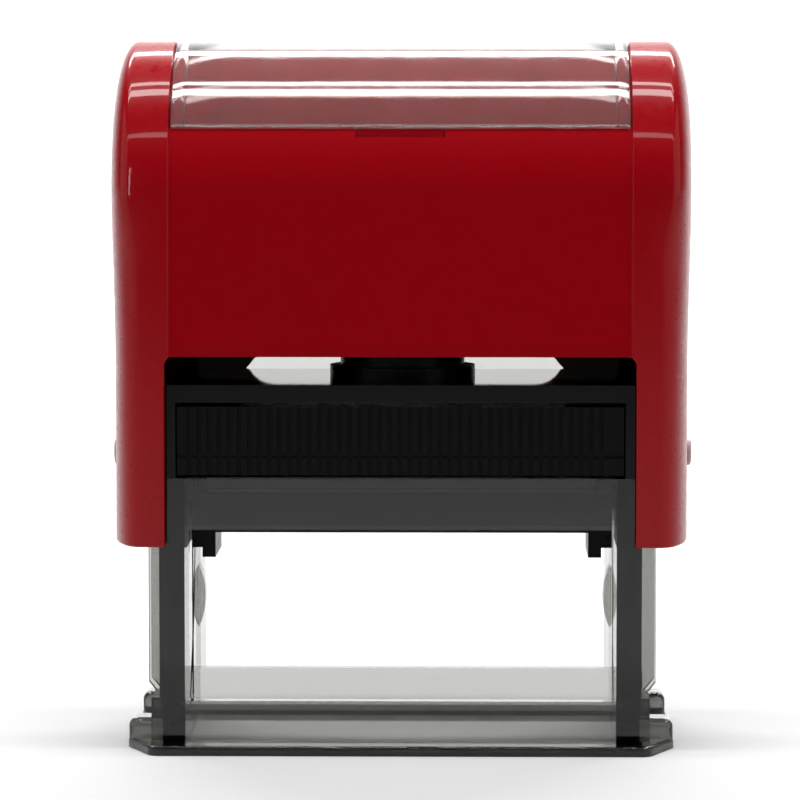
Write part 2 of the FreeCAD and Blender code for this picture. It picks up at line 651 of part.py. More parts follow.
def base_frame():
    """Clear frame: foot flange, rails, side walls with guide ribs, upper crossbars and a rear screen."""
    inner = "wall_outer - wall_thick"
    width = (negative(inner), inner)
    screen = ("tray_back + tray_gap", "base_depth / 2")
    full = (negative("wall_outer"), "wall_outer")
    solids = [foot_flange(), block("rear_screen", full, screen, ("wall_top - overlap", "screen_top"))]
    tools = []
    for end, facing in (("front", -1), ("back", 1)):
        span = side_span("base_depth / 2 - rail_thick", "base_depth / 2", facing)
        solids.append(block(f"rail_{end}", width, span, ("0", "rail_top")))
        solids.append(block(f"crossbar_{end}", width, span, ("crossbar_bottom", "crossbar_top")))
        lip = side_span("base_depth / 2 - lip_depth", "base_depth / 2", facing)
        drop = ("crossbar_bottom - lip_width", "crossbar_bottom + overlap")
        solids.append(block(f"lip_{end}", width, lip, drop))
        for name, side in SIDES:
            across = side_span(f"{inner} - lip_width", f"{inner} + overlap", side)
            height = ("rail_top - overlap", "crossbar_bottom")
            solids.append(block(f"lip_{end}_{name}", across, lip, height))
    for name, side in SIDES:
        wall = side_span(inner, "wall_outer", side)
        solids.append(block(f"wall_{name}", wall, centred("base_depth"), ("0", "wall_top")))
        solids.append(guide_rib(name, side))
        solids.append(wall_hump(name, side))
        post = side_span("wall_outer", "post_outer", side)
        for end, facing in (("front", -1), ("back", 1)):
            reach = side_span("post_inner", "base_depth / 2", facing)
            solids.append(block(f"post_{end}_{name}", post, reach, ("0", "post_top")))
            solids.append(ear_bumper(f"{end}_{name}", side, facing))
        tools += axle_slot(name, side) + [cam_groove(name, side)]
    return keep(cut("base_frame", fuse("base_solid", solids), tools), "base_frame")


# Pad housing and cartridge

def pad_housing():
    """Black bridge on the frame: a top plate and two side plates that the cartridge runs between."""
    wide = (negative("wall_outer"), "wall_outer")
    plate = ("housing_top - housing_plate", "housing_top")
    height = ("wall_top", plate[0])
    depth = ("0 - base_depth / 2", "housing_back")
    solids = [block("housing_roof", wide, depth, plate)]
    for name, side in SIDES:
        cheek = side_span("wall_outer - housing_wall", "wall_outer", side)
        solids.append(block(f"housing_side_{name}", cheek, depth, height))
    return keep(fuse("pad_housing", solids), "pad_housing")


def spring_cup():
    """Stepped round seat for the return spring, on top of the housing."""
    outline = [("0", "housing_top"), ("cup_radius", "housing_top"), ("cup_radius", "cup_step"),
               ("cup_rim_radius", "cup_step"), ("cup_rim_radius", "cup_top"), ("cup_bore", "cup_top"),
               ("cup_bore", "cup_floor"), ("0", "cup_floor")]
    return keep(revolve("spring_cup", outline), "spring_cup")


def return_spring():
    """Open-coiled compression spring between the cup and the yoke."""
    body = doc.addObject("PartDesign::Body", "return_spring")
    section = new_sketch(body, "XZ_Plane", "wire_section")
    circle(section, "wire_radius", "coil_radius", "cup_floor + wire_radius")
    coil = body.newObject("PartDesign::AdditiveHelix", "spring_coil")
    coil.Profile = section
    coil.ReferenceAxis = (section, ["V_Axis"])
    coil.Mode = "height-turns-angle"
    rise = "yoke_top - yoke_bar - cup_floor - 2 * wire_radius"
    coil.setExpression("Height", bind(rise))
    coil.setExpression("Turns", bind("coil_turns"))
    body.Tip = coil
    doc.recompute()
    return keep(body, "return_spring")


def pad_tray():
    """Ink cartridge: a box open at the bottom, with grip grooves down its front face."""
    body = doc.addObject("PartDesign::Body", "pad_tray")
    front = "0 - base_depth / 2"
    plan = new_sketch(body, "XY_Plane", "tray_plan", "tray_bottom")
    rectangle(plan, centred("tray_width"), (front, "tray_back"))
    extrude("Pad", body, plan, "tray_solid", "tray_top - tray_bottom")
    hollow = new_sketch(body, "XY_Plane", "tray_pocket", "tray_bottom")
    rectangle(hollow, centred("pad_width"), centred("pad_depth"))
    extrude("Pocket", body, hollow, "tray_hollow", "pad_rise", reverse=True)
    line = new_sketch(body, "YZ_Plane", "grip_line")
    line_height = ("tray_bottom + grip_line_low", "tray_bottom + grip_line_high")
    rectangle(line, (front, f"{front} + grip_sunk"), line_height)
    extrude("Pocket", body, line, "tray_grip_line", "tray_width + overcut", symmetric=True)

    groove = new_sketch(body, "XY_Plane", "grip_section", "tray_top")
    start = "0 - tray_width / 2 + grip_pitch"
    rectangle(groove, (start, f"{start} + grip_groove"), (f"{front} - overcut", f"{front} + grip_sunk"))
    first = extrude("Pocket", body, groove, "grip_first", "tray_top - tray_bottom")
    pattern = body.newObject("PartDesign::LinearPattern", "grip_grooves")
    pattern.Originals = [first]
    pattern.Direction = (groove, ["H_Axis"])
    count = int((value("tray_width") - 2 * value("grip_pitch")) / value("grip_pitch"))
    pattern.Occurrences = count
    pattern.setExpression("Length", bind(f"grip_pitch * {count - 1}"))
    body.Tip = pattern
    doc.recompute()
    return keep(body, "pad_tray")


def ink_pad():
    """Felt block in the cartridge, face down and a little proud of it."""
    pad = block("ink_pad", centred("pad_width"), centred("pad_depth"),
                ("tray_bottom - pad_proud", "tray_bottom + pad_rise"))
    return keep(pad, "ink_pad")


# Turning block and die

def turning_block():
    """Plate on the axle, with an end cheek at each side that holds the axle and cam pins."""
    body = doc.addObject("PartDesign::Body", "turning_block")
    plate = new_sketch(body, "YZ_Plane", "block_section")
    rectangle(plate, centred("block_depth"), ("axle_height - block_under", "axle_height + block_over"))
    extrude("Pad", body, plate, "block_plate", "block_length", symmetric=True)
    top = "axle_height + block_over"
    steps = (("long", "cheek_inner", "cheek_step", "cheek_drop"),
             ("short", "cheek_step", "cheek_outer", "cheek_step_drop"))
    for name, near, far, drop in steps:
        for side_name, side in SIDES:
            offset = near if side > 0 else negative(far)
            cheek = new_sketch(body, "YZ_Plane", f"cheek_{name}_{side_name}", offset)
            rectangle(cheek, centred("cheek_depth"), (f"axle_height - {drop}", top))
            extrude("Pad", body, cheek, f"cheek_{name}_{side_name}_pad", f"{far} - {near}")
    bores = new_sketch(body, "YZ_Plane", "axle_bores")
    circle(bores, "axle_radius + bore_gap", "0", "axle_height")
    reach = "2 * cheek_outer + 2 * overcut"
    extrude("Pocket", body, bores, "axle_bore", reach, symmetric=True)
    followers = new_sketch(body, "YZ_Plane", "cam_bores")
    circle(followers, "cam_radius", "cam_throw", "axle_height")
    extrude("Pocket", body, followers, "cam_bore", reach, symmetric=True)
    return keep(body, "turning_block")


def cam_pin(name, side):
    """Follower pin pressed into an end cheek; its tip runs in the cam groove."""
    span = side_span("cheek_inner", "wall_outer - wall_thick + cam_reach", side)
    return keep(rod(f"cam_pin_{name}", "cam_radius", span, "cam_throw", "axle_height"), f"cam_pin_{name}")


def die_cushion():
    """Foam layer between the block and the die."""
    low = "axle_height + block_over"
    thickness = (low, f"{low} + cushion_thick")
    foam = block("die_cushion", centred("die_length"), centred("block_depth"), thickness)
    return keep(foam, "die_cushion")


def rubber_die():
    """Rubber printing plate: a back with a raised border and three raised bars."""
    body = doc.addObject("PartDesign::Body", "rubber_die")
    low = "axle_height + block_over + cushion_thick"
    back = new_sketch(body, "XY_Plane", "die_back", low)
    rectangle(back, centred("die_length"), centred("die_depth"))
    extrude("Pad", body, back, "die_back_plate", "die_plate")
    face = f"{low} + die_plate"
    border = new_sketch(body, "XY_Plane", "die_border", face)
    rectangle(border, centred("die_length"), centred("die_depth"))
    rectangle(border, centred("die_length - 2 * die_edge"), centred("die_depth - 2 * die_edge"))
    extrude("Pad", body, border, "die_border_line", "die_relief")
    bars = new_sketch(body, "XY_Plane", "die_bars", face)
    for row, length in ((-1, "bar_front"), (0, "bar_middle"), (1, "bar_rear")):
        across = (f"{row} * bar_pitch - bar_width / 2", f"{row} * bar_pitch + bar_width / 2")
        rectangle(bars, centred(length), across)
    extrude("Pad", body, bars, "die_bar_relief", "die_relief")
    return keep(body, "rubber_die")


def check_document():
    """Stop on a failed object, or on a sub-part that isn't a valid solid."""
    doc.recompute()
    failed = [item.Name for item in doc.Objects if {"Invalid", "Error"} & set(item.State)]
    if failed:
        raise RuntimeError(f"failed objects: {failed}")
    for piece in subparts:
        shape = piece.Shape
        if shape.isNull() or not shape.isValid() or not shape.Solids:
            raise RuntimeError(f"{piece.Label} has no valid solid")


base_frame()
pad_housing()
spring_cup()
return_spring()
cap_shell()
index_window()
yoke()
pad_tray()
ink_pad()
turning_block()
die_cushion()
rubber_die()
for side_label, side_sign in SIDES:
    axle_pin(side_label, side_sign)
    cam_pin(side_label, side_sign)
    lock_button(side_label, side_sign)
check_document()

os.makedirs("parts", exist_ok=True)
for piece in subparts:
    piece.Shape.exportStep(f"parts/{piece.Label}.step")
    print(f"{piece.Label}: {len(piece.Shape.Solids)} solid, {piece.Shape.Volume:.1f} mm3")
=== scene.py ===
import math

import bmesh
import bpy
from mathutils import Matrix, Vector
from mathutils import noise as field


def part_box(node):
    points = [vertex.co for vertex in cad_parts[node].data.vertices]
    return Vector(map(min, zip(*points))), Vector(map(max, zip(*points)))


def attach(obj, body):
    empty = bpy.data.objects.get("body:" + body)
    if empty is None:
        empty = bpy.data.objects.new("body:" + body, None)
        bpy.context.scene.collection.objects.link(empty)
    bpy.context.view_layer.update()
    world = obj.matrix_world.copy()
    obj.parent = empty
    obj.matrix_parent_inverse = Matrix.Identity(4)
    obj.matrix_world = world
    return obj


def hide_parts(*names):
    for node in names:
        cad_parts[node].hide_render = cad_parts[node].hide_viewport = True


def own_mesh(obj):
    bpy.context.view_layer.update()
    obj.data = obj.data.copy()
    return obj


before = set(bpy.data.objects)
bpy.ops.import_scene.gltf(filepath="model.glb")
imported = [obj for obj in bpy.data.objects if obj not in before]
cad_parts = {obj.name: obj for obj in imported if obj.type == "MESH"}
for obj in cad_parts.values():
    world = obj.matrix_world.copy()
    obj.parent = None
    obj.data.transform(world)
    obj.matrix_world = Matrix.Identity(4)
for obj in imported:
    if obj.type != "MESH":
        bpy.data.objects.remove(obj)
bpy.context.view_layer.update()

MM = 0.001

# Sizes of the cap, read from its CAD node, and the few that only its looks have.
CAP_LOW, CAP_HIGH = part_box("cap_shell")
WINDOW_LOW, WINDOW_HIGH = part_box("index_window")
HALF_WIDTH = CAP_HIGH.x
HALF_DEPTH = CAP_HIGH.y
SPRING_LINE = CAP_HIGH.z - HALF_DEPTH
CAP_FOOT = CAP_LOW.z
WALL = 1.8 * MM
# The end walls are thinner, so that the pressed cap passes outside the frame's ears.
END_WALL = 0.95 * MM
PANEL_HALF = 27.45 * MM
PANEL_SINK = 0.25 * MM
SEAT_SINK = 0.95 * MM
# Openings in the front and back of the cap: half-width, corner radius, top.
OPENINGS = {"front": (28.1 * MM, 1.1 * MM, 47.5 * MM), "back": (20.2 * MM, 3.7 * MM, 46.2 * MM)}
OPENING_TOP = OPENINGS["front"][2]
NOTCH_HALF = 5.35 * MM
NOTCH_HEIGHT = 1.0 * MM
# The rounded ends: how deep the rounding goes from the outer profile, and its shape.
DOME_REACH = 12 * MM
DOME_POWER = 2.4
# Where the front turns into a rounded end, low on the legs and on the arch, and how it flares.
TURN_LOW = 30.8 * MM
TURN_HIGH = 32.2 * MM
TURN_START = 29.2 * MM
FLARE_SPAN = (57 * MM, 68 * MM)
TAPER_SPAN = (46 * MM, 66 * MM)
LEG_TAPER = 0.4 * MM
FOOT_RADIUS = 0.35 * MM
PANEL_STEP = 0.17 * MM


# Mesh helpers

def add_piece(name, points, faces, material, smooth=35):
    """A mesh object from points and faces, smooth-shaded except across sharp edges."""
    mesh = bpy.data.meshes.new(name)
    mesh.from_pydata([tuple(point) for point in points], [], faces)
    mesh.validate()
    piece = bpy.data.objects.new(name, mesh)
    bpy.context.scene.collection.objects.link(piece)
    mesh.materials.append(material)
    clean_mesh(mesh)
    shade(piece, smooth)
    return piece


def clean_mesh(mesh, distance=1e-6):
    """Merge doubled points and make the normals point outwards."""
    work = bmesh.new()
    work.from_mesh(mesh)
    bmesh.ops.remove_doubles(work, verts=work.verts, dist=distance)
    bmesh.ops.dissolve_degenerate(work, edges=work.edges, dist=distance)
    bmesh.ops.recalc_face_normals(work, faces=work.faces)
    work.to_mesh(mesh)
    work.free()


def shade(piece, angle):
    """Smooth faces, and sharp edges where two faces meet at more than the angle."""
    mesh = piece.data
    work = bmesh.new()
    work.from_mesh(mesh)
    limit = math.radians(angle)
    for face in work.faces:
        face.smooth = True
    for edge in work.edges:
        edge.smooth = len(edge.link_faces) == 2 and edge.calc_face_angle(0) < limit
    work.to_mesh(mesh)
    work.free()


def apply_modifiers(piece, smooth=35):
    """Bake a piece's modifiers into its mesh."""
    bpy.context.view_layer.update()
    graph = bpy.context.evaluated_depsgraph_get()
    mesh = bpy.data.meshes.new_from_object(piece.evaluated_get(graph))
    piece.modifiers.clear()
    piece.data = mesh
    shade(piece, smooth)


def bevel(piece, width, segments, angle):
    """Round the edges sharper than the angle."""
    modifier = piece.modifiers.new("edge_round", "BEVEL")
    modifier.width = width
    modifier.segments = segments
    modifier.limit_method = "ANGLE"
    modifier.angle_limit = math.radians(angle)
    modifier.miter_outer = "MITER_ARC"
    apply_modifiers(piece)


def smoothstep(low, high, x):
    """0 below the low end, 1 above the high end, and an even rise between them."""
    t = min(1.0, max(0.0, (x - low) / (high - low)))
    return t * t * (3 - 2 * t)


def quarter(count):
    """Angles from 0 to a right angle, in equal steps."""
    return [math.pi / 2 * index / count for index in range(count + 1)]


def spread(low, high, step):
    """Evenly spaced numbers from low to high, about a step apart."""
    count = max(1, round(abs(high - low) / step))
    return [low + (high - low) * index / count for index in range(count + 1)]


def merge_levels(levels, gap=0.02 * MM):
    """Sorted levels without near doubles."""
    kept = []
    for level in sorted(levels):
        if not kept or level - kept[-1] > gap:
            kept.append(level)
    return kept


# Materials

def new_material(name, colour, roughness, **sockets):
    """A Principled material; uniform values sit on the shader's own sockets."""
    material = bpy.data.materials.new(name)
    material.use_nodes = True
    shader = material.node_tree.nodes["Principled BSDF"]
    shader.inputs["Base Color"].default_value = (*colour, 1)
    shader.inputs["Roughness"].default_value = roughness
    for socket, amount in sockets.items():
        shader.inputs[socket.replace("_", " ")].default_value = amount
    return material


def add_node(material, kind, **settings):
    """A shader node with its settings."""
    node = material.node_tree.nodes.new(kind)
    for key, amount in settings.items():
        setattr(node, key, amount)
    return node


def noise(material, scale, detail=3, stretch=(1, 1, 1)):
    """Noise in object space, at a scale in cycles per metre."""
    links = material.node_tree.links
    place = add_node(material, "ShaderNodeTexCoord")
    mapping = add_node(material, "ShaderNodeMapping")
    mapping.inputs["Scale"].default_value = stretch
    texture = add_node(material, "ShaderNodeTexNoise")
    texture.inputs["Scale"].default_value = scale
    texture.inputs["Detail"].default_value = detail
    links.new(place.outputs["Object"], mapping.inputs["Vector"])
    links.new(mapping.outputs["Vector"], texture.inputs["Vector"])
    return texture.outputs["Fac"]


def vary(material, socket, source, low, high):
    """Drive a shader socket from a texture, between two values."""
    ramp = add_node(material, "ShaderNodeMapRange")
    ramp.inputs["From Min"].default_value = 0.3
    ramp.inputs["From Max"].default_value = 0.7
    ramp.inputs["To Min"].default_value = low
    ramp.inputs["To Max"].default_value = high
    material.node_tree.links.new(source, ramp.inputs["Value"])
    shader = material.node_tree.nodes["Principled BSDF"]
    material.node_tree.links.new(ramp.outputs["Result"], shader.inputs[socket])


def tint(material, source, dark, light):
    """Mottle the base colour between two close colours."""
    mix = add_node(material, "ShaderNodeMix", data_type="RGBA")
    mix.inputs["A"].default_value = (*dark, 1)
    mix.inputs["B"].default_value = (*light, 1)
    material.node_tree.links.new(source, mix.inputs["Factor"])
    shader = material.node_tree.nodes["Principled BSDF"]
    material.node_tree.links.new(mix.outputs["Result"], shader.inputs["Base Color"])


def grain(material, source, strength, depth):
    """A bump of the given depth in metres."""
    bump = add_node(material, "ShaderNodeBump")
    bump.inputs["Strength"].default_value = strength
    bump.inputs["Distance"].default_value = depth
    material.node_tree.links.new(source, bump.inputs["Height"])
    shader = material.node_tree.nodes["Principled BSDF"]
    material.node_tree.links.new(bump.outputs["Normal"], shader.inputs["Normal"])


RED = (0.235, 0.0004, 0.003)
RED_DARK = (0.228, 0.0003, 0.0026)
RED_LIGHT = (0.246, 0.0005, 0.004)


def red_gloss():
    material = new_material("red_gloss", RED, 0.3, Coat_Weight=0.32, Coat_Roughness=0.04,
                            Specular_IOR_Level=0.05)
    tint(material, noise(material, 60), RED_DARK, RED_LIGHT)
    vary(material, "Roughness", noise(material, 900), 0.25, 0.36)
    grain(material, noise(material, 420, 2), 0.08, 0.00002)
    return material


def red_satin():
    material = new_material("red_satin", RED, 0.45, Specular_IOR_Level=0.03)
    tint(material, noise(material, 80), RED_DARK, RED_LIGHT)
    vary(material, "Roughness", noise(material, 700), 0.38, 0.52)
    grain(material, noise(material, 5200, 2), 0.25, 0.00003)
    return material


def black_plastic(name, roughness, shade_of=0.003, specular=0.09):
    colour = (shade_of, shade_of, shade_of * 1.15)
    material = new_material(name, colour, roughness, Specular_IOR_Level=specular)
    dark, light = shade_of * 0.8, shade_of * 1.4
    tint(material, noise(material, 120), (dark, dark, dark), (light, light, light * 1.1))
    vary(material, "Roughness", noise(material, 900), roughness * 0.8, roughness * 1.25)
    grain(material, noise(material, 3800, 2), 0.2 if roughness > 0.1 else 0.01, 0.00002)
    return material


def clear_plastic(name, colour, roughness, absorb=None, clarity=1.0):
    """Transparent plastic; absorb is (tint, density per metre) for a smoky volume."""
    material = new_material(name, colour, roughness, IOR=1.49, Transmission_Weight=clarity)
    vary(material, "Roughness", noise(material, 300), roughness, roughness * 1.8)
    grain(material, noise(material, 160, 2), 0.06, 0.00004)
    if absorb:
        volume = add_node(material, "ShaderNodeVolumeAbsorption")
        volume.inputs["Color"].default_value = (*absorb[0], 1)
        volume.inputs["Density"].default_value = absorb[1]
        output = material.node_tree.nodes["Material Output"]
        material.node_tree.links.new(volume.outputs["Volume"], output.inputs["Volume"])
    return material


def steel(name, roughness):
    material = new_material(name, (0.56, 0.56, 0.58), roughness, Metallic=1.0)
    streaks = noise(material, 700, 3, (1, 1, 6))
    tint(material, streaks, (0.50, 0.50, 0.52), (0.64, 0.64, 0.66))
    vary(material, "Roughness", streaks, roughness * 0.7, roughness * 1.3)
    grain(material, streaks, 0.15, 0.00002)
    return material


def felt():
    material = new_material("inked_felt", (0.06, 0.004, 0.008), 0.85, Sheen_Weight=0.3)
    fibres = noise(material, 2600, 5)
    tint(material, fibres, (0.04, 0.003, 0.006), (0.11, 0.008, 0.014))
    grain(material, fibres, 0.8, 0.00015)
    return material


def foam():
    material = new_material("foam", (0.03, 0.03, 0.033), 0.85)
    cells = noise(material, 3400, 4)
    tint(material, cells, (0.018, 0.018, 0.02), (0.05, 0.05, 0.055))
    grain(material, cells, 0.6, 0.0001)
    return material


def rubber():
    material = new_material("die_rubber", (0.022, 0.02, 0.022), 0.55)
    marks = noise(material, 1500, 4)
    tint(material, marks, (0.014, 0.013, 0.015), (0.035, 0.031, 0.034))
    grain(material, marks, 0.35, 0.00005)
    return material


def button_plastic():
    material = new_material("button_plastic", (0.40, 0.26, 0.27), 0.3)
    tint(material, noise(material, 400), (0.36, 0.23, 0.24), (0.44, 0.30, 0.31))
    vary(material, "Roughness", noise(material, 900), 0.25, 0.4)
    return material


RED_GLOSS = red_gloss()
RED_SATIN = red_satin()
BLACK = black_plastic("black_plastic", 0.32)
BLACK_MATTE = black_plastic("black_matte", 0.5, 0.005)
BLACK_GLOSS = black_plastic("black_gloss", 0.04, 0.003, 0.15)
SMOKE = clear_plastic("smoke_clear", (1.0, 1.0, 1.0), 0.02, ((0.30, 0.31, 0.27), 500))
CLEAR = clear_plastic("clear_window", (1.0, 1.0, 1.0), 0.045, None, 0.97)
SPRING_STEEL = steel("spring_steel", 0.28)
PIN_STEEL = steel("pin_steel", 0.2)
FELT = felt()
FOAM = foam()
RUBBER = rubber()
BUTTON = button_plastic()


# Cap: one shell, made on a grid of columns across the cap and rows around its arch

def dome_columns():
    """Columns of one rounded end: (end, depth from the outer profile)."""
    depths = []
    for angle in quarter(10):
        depths.append(DOME_REACH * (1 - math.cos(angle) ** (2 / DOME_POWER)))
    return depths + [(HALF_DEPTH + DOME_REACH) / 2, HALF_DEPTH]


def middle_columns():
    """X of every column between the two rounded ends."""
    edges = [PANEL_HALF + PANEL_STEP]
    edges += [PANEL_HALF + offset * MM for offset in (0.09, 0.03, 0.0, -0.01, -0.07)]
    for half, radius, _ in OPENINGS.values():
        edges += [half - radius + radius * math.sin(angle) for angle in quarter(6)]
    edges += [NOTCH_HALF, NOTCH_HALF - 0.06 * MM, TURN_START]
    edges += spread(0, 16 * MM, 2 * MM)[1:] + [23 * MM, 26 * MM, 22 * MM, 24.5 * MM]
    edges = merge_levels(edges)
    return [-x for x in reversed(edges)] + [0.0] + edges


def cap_rows():
    """Rows around the arch: (side, level). Side is front, arch or back."""
    foot = [CAP_FOOT + offset for offset in (0, 0.1 * MM, 0.22 * MM, FOOT_RADIUS, 1.2 * MM)]
    corners = []
    for _, radius, top in OPENINGS.values():
        corners += [top - radius + radius * math.cos(angle) for angle in quarter(6)]
    legs = merge_levels(foot + corners + spread(CAP_FOOT + 1.2 * MM, 44 * MM, 2.2 * MM)
                        + spread(OPENING_TOP, SPRING_LINE, 2.2 * MM))
    seat = math.asin((WINDOW_LOW.z - SPRING_LINE) / HALF_DEPTH)
    notch = math.asin((WINDOW_LOW.z - NOTCH_HEIGHT - SPRING_LINE) / HALF_DEPTH)
    step = 0.06 * MM / HALF_DEPTH
    low = [notch - step, notch, seat - step, seat]
    high = [math.pi - angle for angle in low]
    arch = merge_levels(low + high + spread(0, math.pi, math.radians(3)), step / 2)
    rows = [("front", z) for z in legs]
    rows += [("arch", angle) for angle in arch[1:-1]]
    return rows + [("back", z) for z in reversed(legs)], seat, notch


def profile(row, radius):
    """(Y, Z) of a row on an arch of the given radius."""
    side, level = row
    if side == "arch":
        return -radius * math.cos(level), SPRING_LINE + radius * math.sin(level)
    return (-radius if side == "front" else radius), level


def edge_reach(row):
    """Half-width where the cap's front or top turns into its rounded end, and of the end itself."""
    side, level = row
    if side == "arch":
        return TURN_HIGH, HALF_WIDTH
    flare = smoothstep(*FLARE_SPAN, level)
    taper = smoothstep(*TAPER_SPAN, level)
    return TURN_LOW + (TURN_HIGH - TURN_LOW) * flare, HALF_WIDTH - LEG_TAPER * (1 - taper)


def foot_round(row):
    """How far the end is drawn in at the cap's lower edge."""
    side, level = row
    if side == "arch" or level >= CAP_FOOT + FOOT_RADIUS:
        return 0.0
    drop = CAP_FOOT + FOOT_RADIUS - level
    return FOOT_RADIUS - math.sqrt(max(0.0, FOOT_RADIUS ** 2 - drop ** 2))


def dome_share(depth):
    """How far towards the end of the cap its outline is, at a depth from the outer profile."""
    t = min(1.0, depth / DOME_REACH)
    return math.sqrt(1 - (1 - t) ** DOME_POWER)


def skin_sink(x, row, seat, notch):
    """How far the middle of the cap lies below its cheeks."""
    side, level = row
    edge = (PANEL_HALF + PANEL_STEP - abs(x)) / (PANEL_STEP + 0.07 * MM)
    inward = smoothstep(0, 1, edge)
    depth = PANEL_SINK
    if side == "arch":
        climb = min(level, math.pi - level)
        at_seat = climb >= seat - 1e-9
        beside = abs(x) < NOTCH_HALF - 0.03 * MM
        in_notch = level < math.pi / 2 and climb >= notch - 1e-9 and beside
        if at_seat or in_notch:
            depth = SEAT_SINK
    return depth * inward


def outer_point(column, row, seat, notch):
    """Point of the cap's outer skin at a column and row."""
    kind, amount = column
    if kind == "middle":
        stretch = edge_reach(row)[0] / TURN_LOW
        x = amount if abs(amount) <= TURN_START else amount * stretch
        y, z = profile(row, HALF_DEPTH - skin_sink(amount, row, seat, notch))
        return Vector((x, y, z))
    start, end = edge_reach(row)
    share = dome_share(amount)
    x = start + (end - start) * share - foot_round(row) * share
    y, z = profile(row, HALF_DEPTH - amount)
    return Vector((x if kind == "right" else -x, y, z))


def inner_point(column, row):
    """Point of the cap's inner skin at a column and row."""
    kind, amount = column
    bore = HALF_DEPTH - WALL
    if kind == "middle":
        y, z = profile(row, bore)
        return Vector((amount, y, z))
    start, end = edge_reach(row)
    start -= 0.15 * MM
    x = start + (end - END_WALL - start) * dome_share(amount)
    y, z = profile(row, bore * (1 - amount / HALF_DEPTH))
    return Vector((x if kind == "right" else -x, y, z))


def grid_cell(row, column, width):
    """The four points round a cell of a grid that is width points across."""
    start = row * width + column
    return (start, start + 1, start + width + 1, start + width)


def cell_corners(column_span, row_span):
    """Corners of a cell that are kept: all, three beside an opening's round corner, or none."""
    (kind_a, left), (kind_b, right) = column_span
    (side_a, low), (side_b, high) = row_span
    if kind_a != "middle" or kind_b != "middle" or side_a != side_b or side_a == "arch":
        return (0, 1, 2, 3)
    half, radius, top = OPENINGS[side_a]
    across, up = abs(left + right) / 2, (low + high) / 2
    if across > half or up > top:
        return (0, 1, 2, 3)
    centre = (half - radius, top - radius)
    if across < centre[0] or up < centre[1]:
        return ()
    corners = ((left, low), (right, low), (right, high), (left, high))
    reach = [math.hypot(abs(x) - centre[0], z - centre[1]) for x, z in corners]
    kept = tuple(index for index, away in enumerate(reach) if away > radius - 0.004 * MM)
    return kept if len(kept) >= 3 else ()


def cap_columns():
    """Columns from the cap's left end to its right end: (kind, depth or X)."""
    ends = dome_columns()
    left = [("left", depth) for depth in reversed(ends)]
    right = [("right", depth) for depth in ends]
    return left + [("middle", x) for x in middle_columns()] + right


def make_cap():
    """The cap's shell with its openings, its recess for the index window and its satin panel."""
    columns = cap_columns()
    rows, seat, notch = cap_rows()
    width = len(columns)
    outside = [outer_point(column, row, seat, notch) for row in rows for column in columns]
    inside = [inner_point(column, row) for row in rows for column in columns]
    faces, satin = [], []
    edges = {}
    for r in range(len(rows) - 1):
        for c in range(width - 1):
            kept = cell_corners((columns[c], columns[c + 1]), (rows[r], rows[r + 1]))
            if not kept:
                continue
            cell = grid_cell(r, c, width)
            face = tuple(cell[k] for k in kept)
            faces.append(face)
            both_middle = columns[c][0] == columns[c + 1][0] == "middle"
            centre_x = abs(columns[c][1] + columns[c + 1][1]) / 2 if both_middle else HALF_WIDTH
            satin.append(centre_x < PANEL_HALF - 0.02 * MM)
            for a, b in zip(face, face[1:] + face[:1]):
                edges[frozenset((a, b))] = edges.get(frozenset((a, b)), []) + [(a, b)]
    offset = len(outside)
    inner_faces = [tuple(reversed([i + offset for i in face])) for face in faces]
    open_edges = [uses[0] for uses in edges.values() if len(uses) == 1]
    rim = [(b, a, a + offset, b + offset) for a, b in open_edges]
    points = outside + inside
    mesh = bpy.data.meshes.new("cap_shell_visible")
    mesh.from_pydata([tuple(p) for p in points], [], faces + inner_faces + rim)
    mesh.materials.append(RED_GLOSS)
    mesh.materials.append(RED_SATIN)
    for index, polygon in enumerate(mesh.polygons):
        if index < len(faces):
            polygon.material_index = 1 if satin[index] else 0
        else:
            polygon.material_index = 1
    clean_mesh(mesh, 2e-6)
    cap = bpy.data.objects.new("cap_shell_visible", mesh)
    bpy.context.scene.collection.objects.link(cap)
    mark_rim(cap)
    rounding = cap.modifiers.new("rim_round", "BEVEL")
    rounding.width = 0.22 * MM
    rounding.segments = 3
    rounding.limit_method = "WEIGHT"
    apply_modifiers(cap, 38)
    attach(cap, "cap")
    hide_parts("cap_shell")


def mark_rim(piece):
    """Bevel weight on the edges where the wall's thickness meets its two skins."""
    work = bmesh.new()
    work.from_mesh(piece.data)
    weight = work.edges.layers.float.new("bevel_weight_edge")
    for edge in work.edges:
        if len(edge.link_faces) == 2 and edge.calc_face_angle(0) > math.radians(62):
            middle = (edge.verts[0].co + edge.verts[1].co) / 2
            low_rim = middle.z < OPENING_TOP + 0.1 * MM
            edge[weight] = 1.0 if low_rim else 0.0
    work.to_mesh(piece.data)
    work.free()


